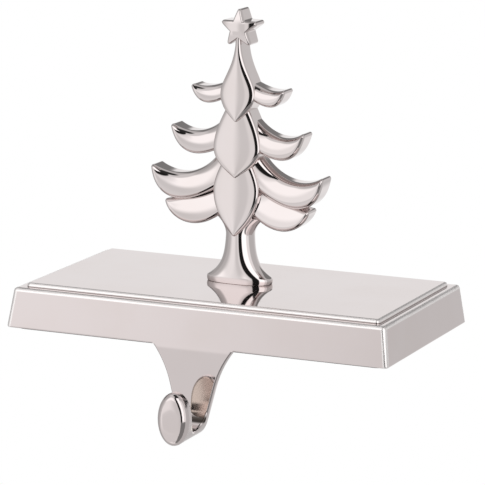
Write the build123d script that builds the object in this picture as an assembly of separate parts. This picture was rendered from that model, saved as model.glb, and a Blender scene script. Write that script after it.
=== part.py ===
from build123d import *
import os
from math import acos, atan2, cos, degrees, exp, hypot, pi, sin
from typing import NamedTuple

# Mantel stocking holder: a hollow cast base with its hook in one piece with the front wall,
# a cast ornamental tree screwed on from below, and a non-slip sheet under the base.
# Frame: millimetres, +Z up, hook towards -Y, origin in the middle of the face that lies
# on the mantel.

# Non-slip sheet
PAD_THICKNESS = 1.0
PAD_HOOK_GAP = 0.3
PAD_CORNER_RADIUS = 3.0

# Base casting: drafted block, plinth step on top, hollow and ribbed underneath
BASE_LENGTH = 152.0
BASE_DEPTH = 86.0
BLOCK_HEIGHT = 14.4
BLOCK_DRAFT = 2.0
BLOCK_EDGE_ROUND = 1.0
RIM_EDGE_ROUND = 0.6
CORNER_RADIUS = 1.6
PLINTH_STEP = 2.0
PLINTH_MARGIN = 3.6
PLINTH_EDGE_ROUND = 0.7
WALL = 4.2
TOP_WALL = 4.0
RIB_THICKNESS = 2.4
CROSS_RIB_PITCH = 36.0
BOSS_RADIUS = 7.5
BOSS_HEIGHT = 7.4

# Hook: a flat tab that hangs from the front wall and an oval lip in front of the throat.
# Drops are measured down from the rim of the base.
TAB_THICKNESS = 2.8
TAB_ROOT_WIDTH = 32.0
TAB_ROOT_HEIGHT = 2.0
TAB_TAPER_WIDTH = 18.2
TAB_TAPER_DROP = 14.0
TAB_EDGE_ROUND = 0.7
THROAT_WIDTH = 13.0
THROAT_DROP = 29.0
THROAT_EDGE_ROUND = 0.9
LIP_WIDTH = 12.4
LIP_TOP_DROP = 13.4
LIP_BOTTOM_DROP = 33.2
LIP_THICKNESS = 5.8
LIP_FRONT_ROUND = 2.2

# Tree casting: heights are measured up from the plinth, which its foot stands on
TREE_FRONT = -4.0
TREE_BACK = 5.2
TREE_DOME_ROOM = 6.0
BACK_EDGE_ROUND = 1.2
FOOT_LENGTH = 25.8
FOOT_WIDTH = 13.0
FOOT_RIM_HEIGHT = 2.3
FOOT_RIM_ROUND = 0.6
FOOT_RIM_TUCK = 0.045
FLARE_HEIGHT = 4.4
TRUNK_LENGTH = 10.6
TRUNK_WIDTH = 10.6
TRUNK_SET_BACK = 1.2
CROWN_LENGTH = 19.4
CROWN_WIDTH = 8.4
CROWN_START = 18.0
TRUNK_STATIONS = (0.0, 0.8, 1.6, 2.3, 3.0, 3.9, 5.0, 6.5, 8.5, 11.0, 14.5, 18.0, 20.0, 22.0, 23.5, 25.0)
LEAF_RIM_STEP = 0.6
LEAF_TIP_ROUND = 1.2
LEAF_LOW_PULL = 0.41
LEAF_HIGH_PULL = 0.26
LEAF_TIP_PULL = 0.24
LEAF_TIP_SHARE = 0.53
BRANCH_DOME_SHARE = 0.75
BRANCH_LEAN = 4.0
BRANCH_EDGE_ROUND = 1.8
BRANCH_TIP_ROUND = 0.9
STAR_MIDDLE = 96.3
STAR_RADIUS = 9.2
STAR_INNER_RADIUS = 3.75
STAR_POINTS = 5
STAR_TIP_ROUND = 0.95
STAR_NOTCH_ROUND = 0.5
STAR_CREST = 1.3
STAR_DOME_RADIUS = 20.0
STAR_EDGE_ROUND = 0.6

# Screw that holds the tree on the base
SCREW_RADIUS = 2.0
SCREW_GRIP = 8.0
SCREW_END_ROUND = 0.5
HEAD_RADIUS = 4.0
HEAD_HEIGHT = 2.6
HEAD_ROUND = 1.6
DRIVE_SPAN = 4.4
DRIVE_WIDTH = 1.1
DRIVE_DEPTH = 1.3
THREAD_CLEARANCE = 0.05
BORE_CLEARANCE = 0.25
HOLE_RUNOUT = 2.0
DRIVER_ROOM = 2.0


class Leaf(NamedTuple):
    """One domed middle leaf: heights, half widths, how far its crest stands out, and its rim's round."""

    top: float
    shoulder: float
    widest: float
    tip: float
    top_half: float
    shoulder_half: float
    half: float
    crest_top: float
    crest_middle: float
    crest_tip: float
    edge_round: float


class Branch(NamedTuple):
    """One curled branch of the right-hand side: two curves that meet at the tip."""

    root_high: tuple
    high_pull: tuple
    high_tip_pull: tuple
    tip: tuple
    low_tip_pull: tuple
    low_pull: tuple
    root_low: tuple
    crest: float


LEAVES = (
    Leaf(94.0, 82.0, 71.8, 61.4, 1.1, 0.7, 6.6, 0.8, 1.6, 2.2, 1.0),
    Leaf(72.0, 63.5, 51.5, 40.3, 1.5, 6.3, 9.0, 0.7, 1.7, 2.0, 1.1),
    Leaf(53.0, 45.0, 35.5, 18.0, 2.0, 6.5, 8.9, 0.7, 1.7, 2.1, 1.8),
)
BRANCHES = (
    Branch(
        root_high=(3.0, 77.5), high_pull=(8.0, 74.6), high_tip_pull=(14.5, 72.2), tip=(19.3, 75.2),
        low_tip_pull=(16.2, 62.1), low_pull=(6.5, 69.6), root_low=(3.0, 71.0), crest=1.0,
    ),
    Branch(
        root_high=(4.0, 65.5), high_pull=(9.0, 57.5), high_tip_pull=(18.5, 53.0), tip=(27.4, 59.9),
        low_tip_pull=(24.4, 45.0), low_pull=(15.2, 46.0), root_low=(4.0, 52.5), crest=1.0,
    ),
    Branch(
        root_high=(6.0, 54.0), high_pull=(11.0, 41.5), high_tip_pull=(24.0, 36.0), tip=(35.0, 43.6),
        low_tip_pull=(33.5, 27.0), low_pull=(20.0, 26.5), root_low=(4.0, 39.5), crest=1.1,
    ),
    Branch(
        root_high=(5.0, 38.0), high_pull=(14.0, 35.5), high_tip_pull=(22.0, 31.0), tip=(29.4, 30.0),
        low_tip_pull=(27.7, 22.5), low_pull=(16.2, 15.8), root_low=(4.0, 28.5), crest=0.4,
    ),
)

# Heights and faces that several pieces share
base_bottom = PAD_THICKNESS
block_top = base_bottom + BLOCK_HEIGHT
plinth_top = block_top + PLINTH_STEP
cavity_top = plinth_top - TOP_WALL
cavity_height = cavity_top - base_bottom
boss_bottom = cavity_top - BOSS_HEIGHT
wall_front = -BASE_DEPTH / 2
tab_back = wall_front + TAB_THICKNESS
throat_middle = wall_front - THROAT_WIDTH / 2
lip_back = wall_front - THROAT_WIDTH
lip_front = lip_back - LIP_THICKNESS
oval_half = (LIP_BOTTOM_DROP - LIP_TOP_DROP) / 2
crown_top = TRUNK_STATIONS[-1]
oval_middle = base_bottom - (LIP_BOTTOM_DROP + LIP_TOP_DROP) / 2
tree_run = TREE_BACK - TREE_FRONT + TREE_DOME_ROOM


def upright(y):
    """Plane at a depth, facing the front, with X to the right and Z up."""
    return Plane.XZ.offset(-y)


def edges_level(part, height):
    """Edges of a part that lie level at a height."""
    return part.edges().filter_by_position(Axis.Z, height - 0.01, height + 0.01)


def edges_upright(part, y):
    """Edges of a part that lie in the upright plane at a depth."""
    return part.edges().filter_by_position(Axis.Y, y - 0.01, y + 0.01)


def drafted(length, depth, low, high, draft):
    """Block whose four walls lean in by the draft between its low and its high face."""
    foot = Pos(0, 0, low) * RectangleRounded(length, depth, CORNER_RADIUS)
    head = Pos(0, 0, high) * RectangleRounded(length - 2 * draft, depth - 2 * draft, CORNER_RADIUS)
    return loft([foot, head], ruled=True)


def sharp_block():
    """Drafted block of the base with sharp edges and no hollow."""
    return drafted(BASE_LENGTH, BASE_DEPTH, base_bottom, block_top, BLOCK_DRAFT)


def base_hollow():
    """Space under the base between the walls, ribs and screw boss."""
    draft = BLOCK_DRAFT * cavity_height / BLOCK_HEIGHT
    cavity = drafted(BASE_LENGTH - 2 * WALL, BASE_DEPTH - 2 * WALL, base_bottom, cavity_top, draft)
    rib_middle = base_bottom + cavity_height / 2
    ribs = Pos(0, 0, rib_middle) * Box(BASE_LENGTH, RIB_THICKNESS, cavity_height)
    for place in (-CROSS_RIB_PITCH, CROSS_RIB_PITCH):
        ribs += Pos(place, 0, rib_middle) * Box(RIB_THICKNESS, BASE_DEPTH, cavity_height)
    room_height = boss_bottom - base_bottom
    ribs -= Pos(0, 0, base_bottom + room_height / 2) * Cylinder(HEAD_RADIUS + DRIVER_ROOM, room_height)
    boss = Pos(0, 0, boss_bottom + BOSS_HEIGHT / 2) * Cylinder(BOSS_RADIUS, BOSS_HEIGHT)
    return cavity - ribs - boss


def base_shell():
    """Block with its plinth, rounded edges, hollow underside and screw bore."""
    block = sharp_block()
    block = fillet(edges_level(block, block_top), BLOCK_EDGE_ROUND)
    block = fillet(edges_level(block, base_bottom), RIM_EDGE_ROUND)
    inset = 2 * (BLOCK_DRAFT + PLINTH_MARGIN)
    plinth_face = RectangleRounded(BASE_LENGTH - inset, BASE_DEPTH - inset, CORNER_RADIUS)
    plinth = extrude(Pos(0, 0, cavity_top) * plinth_face, TOP_WALL)
    plinth = fillet(edges_level(plinth, plinth_top), PLINTH_EDGE_ROUND)
    bore_length = plinth_top - boss_bottom
    bore = Pos(0, 0, boss_bottom + bore_length / 2) * Cylinder(SCREW_RADIUS + BORE_CLEARANCE, bore_length)
    return block + plinth - base_hollow() - bore


def tab_outline():
    """Outline of the tab: flared root, straight taper, and the oval's bottom that it runs into."""
    half = LIP_WIDTH / 2
    taper_top = (TAB_TAPER_WIDTH / 2, base_bottom - TAB_TAPER_DROP)
    root = (TAB_ROOT_WIDTH / 2, base_bottom)
    # Angle on the oval at which a line from the top of the taper touches it
    across = taper_top[0] / half
    above = (taper_top[1] - oval_middle) / oval_half
    touch = degrees(atan2(above, across) - acos(1 / hypot(across, above)))
    with BuildSketch(upright(tab_back)) as outline:
        with BuildLine():
            middle = (0, oval_middle)
            bottom = EllipticalCenterArc(middle, half, oval_half, start_angle=-90, arc_size=90 + touch)
            taper = Line(bottom @ 1, taper_top)
            TangentArc(taper_top, root, tangent=taper % 1)
            Polyline(root, (0, base_bottom), bottom @ 0)
        make_face()
        mirror(about=Plane.YZ)
    return outline.sketch


def hook():
    """Tab, hook bottom and oval lip, with the throat cut through from side to side."""
    tab = extrude(tab_outline(), tab_back - throat_middle)
    oval = upright(throat_middle) * Pos(0, oval_middle) * Ellipse(LIP_WIDTH / 2, oval_half)
    lip = extrude(oval, throat_middle - lip_front)
    floor_middle = base_bottom - THROAT_DROP + THROAT_WIDTH / 2
    floor = Rot(0, 90, 0) * Cylinder(THROAT_WIDTH / 2, TAB_ROOT_WIDTH)
    sides = Pos(0, 0, THROAT_DROP / 2) * Box(TAB_ROOT_WIDTH, THROAT_WIDTH, THROAT_DROP)
    part = tab + lip - Pos(0, throat_middle, floor_middle) * (floor + sides)
    part = fillet(edges_upright(part, lip_front), LIP_FRONT_ROUND)
    back_edges = edges_upright(part, tab_back).filter_by(lambda edge: edge.center().Z < base_bottom - 0.01)
    part = fillet(back_edges, TAB_EDGE_ROUND)
    # The rim of the throat runs down the tab, along the floor and round the lip in one chain
    throat_rim = part.edges().filter_by_position(Axis.Y, lip_back - 0.01, wall_front + 0.01)
    throat_rim = throat_rim - edges_upright(part, throat_middle)
    throat_rim = throat_rim.filter_by(lambda edge: edge.bounding_box().size.Z > 0.01)
    return fillet(throat_rim, THROAT_EDGE_ROUND)


def base_casting():
    """Base and hook as the one casting that they are."""
    root_middle = Pos(0, wall_front + TAB_THICKNESS / 2, base_bottom + TAB_ROOT_HEIGHT / 2)
    root = root_middle * Box(TAB_ROOT_WIDTH, TAB_THICKNESS, TAB_ROOT_HEIGHT)
    return base_shell() + (root & sharp_block()) + hook()


def leaf_body(leaf):
    """Domed leaf: its outline, run back to the tree's flat back, under a barrel-shaped front."""
    drop = leaf.widest - leaf.tip
    rise = leaf.top - leaf.widest
    middle = (leaf.half, leaf.widest)
    with BuildSketch(upright(TREE_BACK)) as outline:
        with BuildLine():
            Bezier(
                middle,
                (leaf.half, leaf.widest - LEAF_LOW_PULL * drop),
                (LEAF_TIP_SHARE * leaf.half, leaf.tip + LEAF_TIP_PULL * drop),
                (0, leaf.tip),
            )
            Bezier(
                middle,
                (leaf.half, leaf.widest + LEAF_HIGH_PULL * rise),
                (leaf.shoulder_half, leaf.shoulder),
                (leaf.top_half, leaf.top),
            )
            Polyline((leaf.top_half, leaf.top), (0, leaf.top), (0, leaf.tip))
        make_face()
        mirror(about=Plane.YZ)
        fillet(outline.vertices().sort_by(Axis.Y)[0], LEAF_TIP_ROUND)
    block = extrude(outline.sketch, tree_run)
    # The barrel's axis stands behind the leaf, so that the dome falls to the rim at the widest place
    fall = leaf.crest_middle - LEAF_RIM_STEP
    radius = (leaf.half ** 2 + fall ** 2) / (2 * fall)
    axis_depth = TREE_FRONT - leaf.crest_middle + radius
    behind = Plane((0, axis_depth, 0), x_dir=(0, 1, 0), z_dir=(1, 0, 0))
    with BuildSketch(behind) as profile:
        with BuildLine():
            crest = ThreePointArc(
                (axis_depth - TREE_FRONT + leaf.crest_top, leaf.top),
                (axis_depth - TREE_FRONT + leaf.crest_middle, leaf.widest),
                (axis_depth - TREE_FRONT + leaf.crest_tip, leaf.tip),
            )
            Polyline(crest @ 1, (0, leaf.tip), (0, leaf.top), crest @ 0)
        make_face()
    barrel = revolve(profile.sketch, axis=Axis((0, axis_depth, 0), (0, 0, 1)))
    body = block & barrel
    rim = body.faces().sort_by(Axis.Y)[0].edges() - edges_level(body, leaf.top)
    body = fillet(rim, leaf.edge_round)
    back_edges = edges_upright(body, TREE_BACK) - edges_level(body, leaf.top)
    return fillet(back_edges, min(BACK_EDGE_ROUND, leaf.edge_round))


def branch_body(branch):
    """Curled branch: a crescent with a rounded tip under a front that is domed along its curve."""
    with BuildSketch(upright(TREE_BACK)) as outline:
        with BuildLine():
            high = Bezier(branch.root_high, branch.high_pull, branch.high_tip_pull, branch.tip)
            low = Bezier(branch.tip, branch.low_tip_pull, branch.low_pull, branch.root_low)
            root = Line(branch.root_low, branch.root_high)
        make_face()
        fillet(outline.vertices().sort_by(Axis.X)[-1], BRANCH_TIP_ROUND)
    block = extrude(outline.sketch, tree_run)
    spine = ThreePointArc(root @ 0.5, (high @ 0.5 + low @ 0.5) / 2, branch.tip)
    dome_radius = BRANCH_DOME_SHARE * spine.radius
    middle = spine.arc_center
    ring = Rot(90, 0, 0) * Torus(spine.radius, dome_radius)
    # The dome leans back about the tip, so that the root lies deeper than the leaf's rim
    tip_axis = Pos(branch.tip[0], TREE_FRONT - branch.crest, 0) * Rot(0, 0, -BRANCH_LEAN)
    body = block & tip_axis * Pos(middle.X - branch.tip[0], dome_radius, middle.Y) * ring
    root_reach = max(branch.root_high[0], branch.root_low[0]) + 0.01
    rim = body.faces().sort_by(Axis.Y)[0].edges()
    rim = rim.filter_by(lambda edge: edge.bounding_box().max.X > root_reach)
    body = fillet(rim, BRANCH_EDGE_ROUND)
    back_edges = edges_upright(body, TREE_BACK)
    back_edges = back_edges.filter_by(lambda edge: edge.bounding_box().max.X > root_reach)
    return fillet(back_edges, BACK_EDGE_ROUND)


def star_reach(corner):
    """Distance of a corner of the star's outline from the star's middle."""
    return hypot(corner.X, corner.Y - STAR_MIDDLE)


def star_body():
    """Five-pointed star with rounded corners and a lightly puffed front."""
    corners = []
    for step in range(2 * STAR_POINTS):
        reach = STAR_RADIUS if step % 2 == 0 else STAR_INNER_RADIUS
        angle = pi / 2 + step * pi / STAR_POINTS
        corners.append((reach * cos(angle), STAR_MIDDLE + reach * sin(angle)))
    with BuildSketch(upright(TREE_BACK)) as outline:
        with BuildLine():
            Polyline(*corners, close=True)
        make_face()
        fillet(outline.vertices().sort_by(star_reach)[STAR_POINTS:], STAR_TIP_ROUND)
        fillet(outline.vertices().sort_by(star_reach)[:STAR_POINTS], STAR_NOTCH_ROUND)
    block = extrude(outline.sketch, tree_run)
    ball = Pos(0, TREE_FRONT - STAR_CREST + STAR_DOME_RADIUS, STAR_MIDDLE) * Sphere(STAR_DOME_RADIUS)
    body = block & ball
    body = fillet(body.faces().sort_by(Axis.Y)[0].edges(), STAR_EDGE_ROUND)
    return fillet(edges_upright(body, TREE_BACK), BACK_EDGE_ROUND)


def trunk_body():
    """Oval foot that sweeps up into the trunk, which widens again under the lowest branches."""
    sections = []
    for height in TRUNK_STATIONS:
        above = height - FOOT_RIM_HEIGHT
        spread = exp(-(above + hypot(above, FOOT_RIM_ROUND)) / (2 * FLARE_HEIGHT))
        tuck = 1 - FOOT_RIM_TUCK * (max(-above, 0) / FOOT_RIM_HEIGHT) ** 2
        crown = (max(height - CROWN_START, 0) / (crown_top - CROWN_START)) ** 2
        length = TRUNK_LENGTH + (FOOT_LENGTH - TRUNK_LENGTH) * spread
        length += (CROWN_LENGTH - TRUNK_LENGTH) * crown
        width = TRUNK_WIDTH + (FOOT_WIDTH - TRUNK_WIDTH) * spread
        width += (CROWN_WIDTH - TRUNK_WIDTH) * crown
        sections.append(Pos(0, TRUNK_SET_BACK, height) * Ellipse(tuck * length / 2, tuck * width / 2))
    return loft(sections)


def tree_casting():
    """Trunk, branches, leaves and star in one casting, with the screw's blind hole in its foot."""
    tree = trunk_body() + star_body()
    for branch in BRANCHES:
        body = branch_body(branch)
        tree += body + mirror(body, about=Plane.YZ)
    for leaf in LEAVES:
        tree += leaf_body(leaf)
    hole_depth = SCREW_GRIP + HOLE_RUNOUT
    tree -= Pos(0, 0, hole_depth / 2) * Cylinder(SCREW_RADIUS + THREAD_CLEARANCE, hole_depth)
    return Pos(0, 0, plinth_top) * tree


def tree_screw():
    """Pan-head screw with a cross recess, seated under the boss."""
    shank_length = plinth_top + SCREW_GRIP - boss_bottom
    shank = Pos(0, 0, boss_bottom + shank_length / 2) * Cylinder(SCREW_RADIUS, shank_length)
    shank = fillet(edges_level(shank, boss_bottom + shank_length), SCREW_END_ROUND)
    head_bottom = boss_bottom - HEAD_HEIGHT
    head = Pos(0, 0, head_bottom + HEAD_HEIGHT / 2) * Cylinder(HEAD_RADIUS, HEAD_HEIGHT)
    head = fillet(edges_level(head, head_bottom), HEAD_ROUND)
    drive = Box(DRIVE_SPAN, DRIVE_WIDTH, DRIVE_DEPTH) + Box(DRIVE_WIDTH, DRIVE_SPAN, DRIVE_DEPTH)
    return shank + head - Pos(0, 0, head_bottom + DRIVE_DEPTH / 2) * drive


def non_slip_pad():
    """Sheet glued to the rim and ribs, kept clear of the back of the hook's tab."""
    inset = 2 * (TAB_THICKNESS + PAD_HOOK_GAP)
    outline = RectangleRounded(BASE_LENGTH - inset, BASE_DEPTH - inset, PAD_CORNER_RADIUS)
    return extrude(outline, PAD_THICKNESS)


os.makedirs("parts", exist_ok=True)
export_step(base_casting(), "parts/base_casting.step")
export_step(tree_casting(), "parts/tree_casting.step")
export_step(tree_screw(), "parts/tree_screw.step")
export_step(non_slip_pad(), "parts/non_slip_pad.step")
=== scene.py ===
"""Looks of a mantel stocking holder: plated base with its hook, tree, screw and non-slip sheet.

Sizes are in millimetres in the classes below and become metres where the meshes are made. The
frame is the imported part's own: +Z up, the hook towards -Y, the mantel's top at height zero.
"""

import logging
import math
from dataclasses import dataclass, field
from enum import Enum
from typing import Callable, Optional, Sequence, Union

import bmesh
import bpy
import numpy as np
from mathutils import Matrix, Vector


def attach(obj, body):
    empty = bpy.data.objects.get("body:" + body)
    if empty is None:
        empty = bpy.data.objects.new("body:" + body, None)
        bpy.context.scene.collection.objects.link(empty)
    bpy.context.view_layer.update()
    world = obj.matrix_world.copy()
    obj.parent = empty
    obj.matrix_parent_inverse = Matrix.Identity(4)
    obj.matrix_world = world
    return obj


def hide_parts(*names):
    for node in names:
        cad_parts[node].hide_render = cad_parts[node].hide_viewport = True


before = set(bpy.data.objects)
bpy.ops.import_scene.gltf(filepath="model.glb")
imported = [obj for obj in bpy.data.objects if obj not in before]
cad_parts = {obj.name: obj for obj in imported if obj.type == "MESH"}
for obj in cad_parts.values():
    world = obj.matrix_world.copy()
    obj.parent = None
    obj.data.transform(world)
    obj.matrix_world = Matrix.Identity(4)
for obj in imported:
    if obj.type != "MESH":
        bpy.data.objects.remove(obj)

MM = 0.001
BODY = "root"
WHITE = (1.0, 1.0, 1.0)
QUARTER_TURN = math.pi / 2
FULL_TURN = 2 * math.pi
BASE_DRAFT = 2.0 / 14.4  # how far the block's sides lean in for each millimetre of height
PLINTH_TOP = 17.4  # level of the plinth that the tree stands on
CURVE_STEPS = 6000  # points of an outline curve whose tip is rounded
log = logging.getLogger("stocking_holder")

Rgb = tuple[float, float, float]
Pair = tuple[float, float]
Plan = Callable[[np.ndarray, np.ndarray], np.ndarray]


class Part(Enum):
    """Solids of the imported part, each with its material slot."""

    BASE = ("base_casting", "plated_base")
    TREE = ("tree_casting", "plated_tree")
    SCREW = ("tree_screw", "screw_steel")
    PAD = ("non_slip_pad", "pad_rubber")


class Axis(Enum):
    """Coordinates of a place on the part."""

    ACROSS = "X"
    DEPTH = "Y"
    LEVEL = "Z"


class Signal:
    """A shader value: Python's operators on it add Math nodes."""

    def __init__(self, graph: "Graph", socket: bpy.types.NodeSocket) -> None:
        """Wraps an output socket of a graph."""
        self.graph = graph
        self.socket = socket

    def _math(self, operation: str, first: "Value", second: "Value") -> "Signal":
        """Adds one Math node and returns its result."""
        made = self.graph.node("ShaderNodeMath", {"operation": operation}, {0: first, 1: second})
        return self.graph.signal(made)

    def __add__(self, other: "Value") -> "Signal":
        """Sum with a value or a number."""
        return self._math("ADD", self, other)

    __radd__ = __add__

    def __sub__(self, other: "Value") -> "Signal":
        """Difference from a value or a number."""
        return self._math("SUBTRACT", self, other)

    def __rsub__(self, other: "Value") -> "Signal":
        """Difference of a number and this value."""
        return self._math("SUBTRACT", other, self)

    def __mul__(self, other: "Value") -> "Signal":
        """Product with a value or a number."""
        return self._math("MULTIPLY", self, other)

    __rmul__ = __mul__

    def most(self, other: "Value") -> "Signal":
        """The larger of this value and another."""
        return self._math("MAXIMUM", self, other)


Value = Union[Signal, float]


@dataclass(frozen=True)
class Mottle:
    """A noise pattern.

    Attributes:
        scale: Noise cells for each metre.
        detail: Octaves of finer noise.
        weight: Weight of the finer noise.
    """

    scale: float
    detail: float
    weight: float


class Graph:
    """A node tree with one method that makes any node in it."""

    def __init__(self, tree: bpy.types.NodeTree) -> None:
        """Empties a node tree and takes it over."""
        self.tree = tree
        tree.nodes.clear()

    def node(
        self,
        kind: str,
        settings: Optional[dict[str, object]] = None,
        inputs: Optional[dict[Union[str, int], object]] = None,
    ) -> bpy.types.Node:
        """Makes a node, sets it up and feeds its sockets.

        Args:
            kind: Blender's name of the node type.
            settings: Properties, set first.
            inputs: Values, sockets, nodes or signals by socket identifier, name or index.

        Returns:
            The new node.
        """
        made = self.tree.nodes.new(kind)
        for name, value in (settings or {}).items():
            setattr(made, name, value)
        for name, value in (inputs or {}).items():
            self._feed(self._socket(made, name), value)
        return made

    @staticmethod
    def _socket(made: bpy.types.Node, name: Union[str, int]) -> bpy.types.NodeSocket:
        """Finds an input of a node.

        Args:
            made: The node.
            name: Identifier, name or index of the input.

        Returns:
            The input socket.
        """
        for socket in made.inputs:
            if socket.identifier == name:
                return socket
        return made.inputs[name]

    def _feed(self, socket: bpy.types.NodeSocket, value: object) -> None:
        """Links a socket to a value that has one, or sets it.

        Args:
            socket: Socket to feed.
            value: Signal, socket or node to link, or a plain value.
        """
        if isinstance(value, Signal):
            self.tree.links.new(value.socket, socket)
        elif isinstance(value, bpy.types.NodeSocket):
            self.tree.links.new(value, socket)
        elif isinstance(value, bpy.types.Node):
            self.tree.links.new(value.outputs[0], socket)
        elif socket.type == "RGBA" and len(value) == 3:
            socket.default_value = (*value, 1.0)
        else:
            socket.default_value = value

    def signal(self, made: bpy.types.Node, output: Union[str, int] = 0) -> Signal:
        """An output of a node as a value for shader maths."""
        return Signal(self, made.outputs[output])

    def place(self) -> bpy.types.NodeSocket:
        """Place on the piece in metres, in Object coordinates."""
        return self.node("ShaderNodeTexCoord").outputs["Object"]

    def seen(self) -> Signal:
        """Tells what is seen from what lights the object.

        Returns:
            1 for rays from the camera, from metal and through glass, 0 for the others.
        """
        rays = self.node("ShaderNodeLightPath")
        share = self.signal(rays, "Is Camera Ray").most(self.signal(rays, "Is Glossy Ray"))
        return share.most(self.signal(rays, "Is Transmission Ray"))

    def span(self, value: Signal, low: float, high: float) -> Signal:
        """Smooth step of a value.

        Args:
            value: Value to map.
            low: Value that gives 0, as all below it do.
            high: Value that gives 1, as all above it do.

        Returns:
            The share from 0 to 1.
        """
        limits = {"Value": value, "From Min": low, "From Max": high}
        return self.signal(
            self.node("ShaderNodeMapRange", {"interpolation_type": "SMOOTHSTEP"}, limits)
        )

    def blend(self, share: Value, first: object, second: object) -> bpy.types.NodeSocket:
        """Mixes two colours.

        Args:
            share: Share of the second colour.
            first: Colour or socket at share zero.
            second: Colour or socket at share one.

        Returns:
            Socket with the mixed colour.
        """
        colours = {"Factor_Float": share, "A_Color": first, "B_Color": second}
        made = self.node("ShaderNodeMix", {"data_type": "RGBA"}, colours)
        return next(socket for socket in made.outputs if socket.identifier == "Result_Color")

    def noise(self, place: object, mottle: Mottle) -> Signal:
        """Noise from 0 to 1 over a place.

        Args:
            place: Node or socket with coordinates in metres.
            mottle: Pattern of the noise.

        Returns:
            The noise value.
        """
        pattern = {"Scale": mottle.scale, "Detail": mottle.detail, "Roughness": mottle.weight}
        return self.signal(self.node("ShaderNodeTexNoise", None, {"Vector": place, **pattern}))

    def principled(self, height: Signal, inputs: dict[str, object]) -> bpy.types.Node:
        """Makes a Principled shader with a fine relief.

        Args:
            height: Height of the relief in millimetres.
            inputs: Values of the shader's other sockets.

        Returns:
            The shader.
        """
        relief = {"Strength": 1.0, "Distance": MM, "Height": height}
        bump = self.node("ShaderNodeBump", None, relief)
        return self.node("ShaderNodeBsdfPrincipled", None, {**inputs, "Normal": bump})


@dataclass(frozen=True)
class Band:
    """A soft range of one coordinate, in millimetres.

    Attributes:
        axis: The coordinate.
        rise: Where the range starts and where it is full.
        fall: Where it starts to fade and where it ends, or None if it goes on.
        lean: Draft of a pair of sides that the range is measured on, or None.
    """

    axis: Axis
    rise: Pair
    fall: Optional[Pair] = None
    lean: Optional[float] = None

    def share(self, graph: Graph, parts: bpy.types.Node) -> Signal:
        """Share of the range at a place.

        Args:
            graph: Graph to add to.
            parts: Node with the place's three coordinates in metres.

        Returns:
            1 inside the range, 0 outside it.
        """
        value = graph.signal(parts, self.axis.value)
        if self.lean is not None:
            level = graph.signal(parts, Axis.LEVEL.value)
            value = value.most(value * -1.0) + level * self.lean
        share = graph.span(value, self.rise[0] * MM, self.rise[1] * MM)
        if self.fall is not None:
            share = share * (1.0 - graph.span(value, self.fall[0] * MM, self.fall[1] * MM))
        return share


class Mark(Enum):
    """Places on the base that aren't mirror bright: rougher places, painted highlights and painted
    shade; each lies where all its bands meet.
    """

    # Painted highlight and extra roughness along the block's top edge
    BLOCK_RIM = (Band(Axis.LEVEL, (14.5, 14.8), (15.87, 15.89)),)
    # Painted highlight and extra roughness on the block's upright corners
    BLOCK_CORNERS = (
        Band(Axis.ACROSS, (74.2, 74.6), lean=BASE_DRAFT),
        Band(Axis.DEPTH, (41.2, 41.6), lean=BASE_DRAFT),
    )
    # Painted shade line in the inner corner at the plinth's foot
    PLINTH_FOOT = (Band(Axis.LEVEL, (15.91, 15.93), (16.0, 16.2)),)
    # Painted highlight and extra roughness along the plinth's top edge
    PLINTH_RIM = (Band(Axis.LEVEL, (16.1, 16.3), (17.37, 17.39)),)
    LIP_SIDE = (Band(Axis.DEPTH, (-60.2, -59.4), (-56.4, -56.1)),)
    LIP_BACK = (
        Band(Axis.DEPTH, (-56.35, -56.05), (-52.5, -50.0)),
        Band(Axis.LEVEL, (-27.6, -25.6)),
    )
    # Painted dark reflection and shade on the concave floor of the hook's throat, beside the tab
    THROAT_FLOOR = (
        Band(Axis.DEPTH, (-48.0, -46.5), (-43.1, -43.02)),
        Band(Axis.LEVEL, (-26.8, -26.0), (-25.0, -22.6)),
    )

    def share(self, graph: Graph, parts: bpy.types.Node) -> Signal:
        """Share of the mark at a place.

        Args:
            graph: Graph to add to.
            parts: Node with the place's three coordinates in metres.

        Returns:
            1 on the mark, 0 elsewhere.
        """
        first, *others = (band.share(graph, parts) for band in self.value)
        for other in others:
            first = first * other
        return first


@dataclass(frozen=True)
class Finish:
    """A procedural material; each kind adds its own nodes.

    Attributes:
        name: Material name.
    """

    name: str

    def surface(self, graph: Graph) -> bpy.types.Node:
        """Adds the finish's nodes to a graph and returns its shader."""
        raise NotImplementedError

    def build(self) -> bpy.types.Material:
        """Builds the node material.

        Returns:
            The finished material.
        """
        material = bpy.data.materials.new(self.name)
        material.use_nodes = True
        graph = Graph(material.node_tree)
        graph.node("ShaderNodeOutputMaterial", None, {"Surface": self.surface(graph)})
        return material


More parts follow.
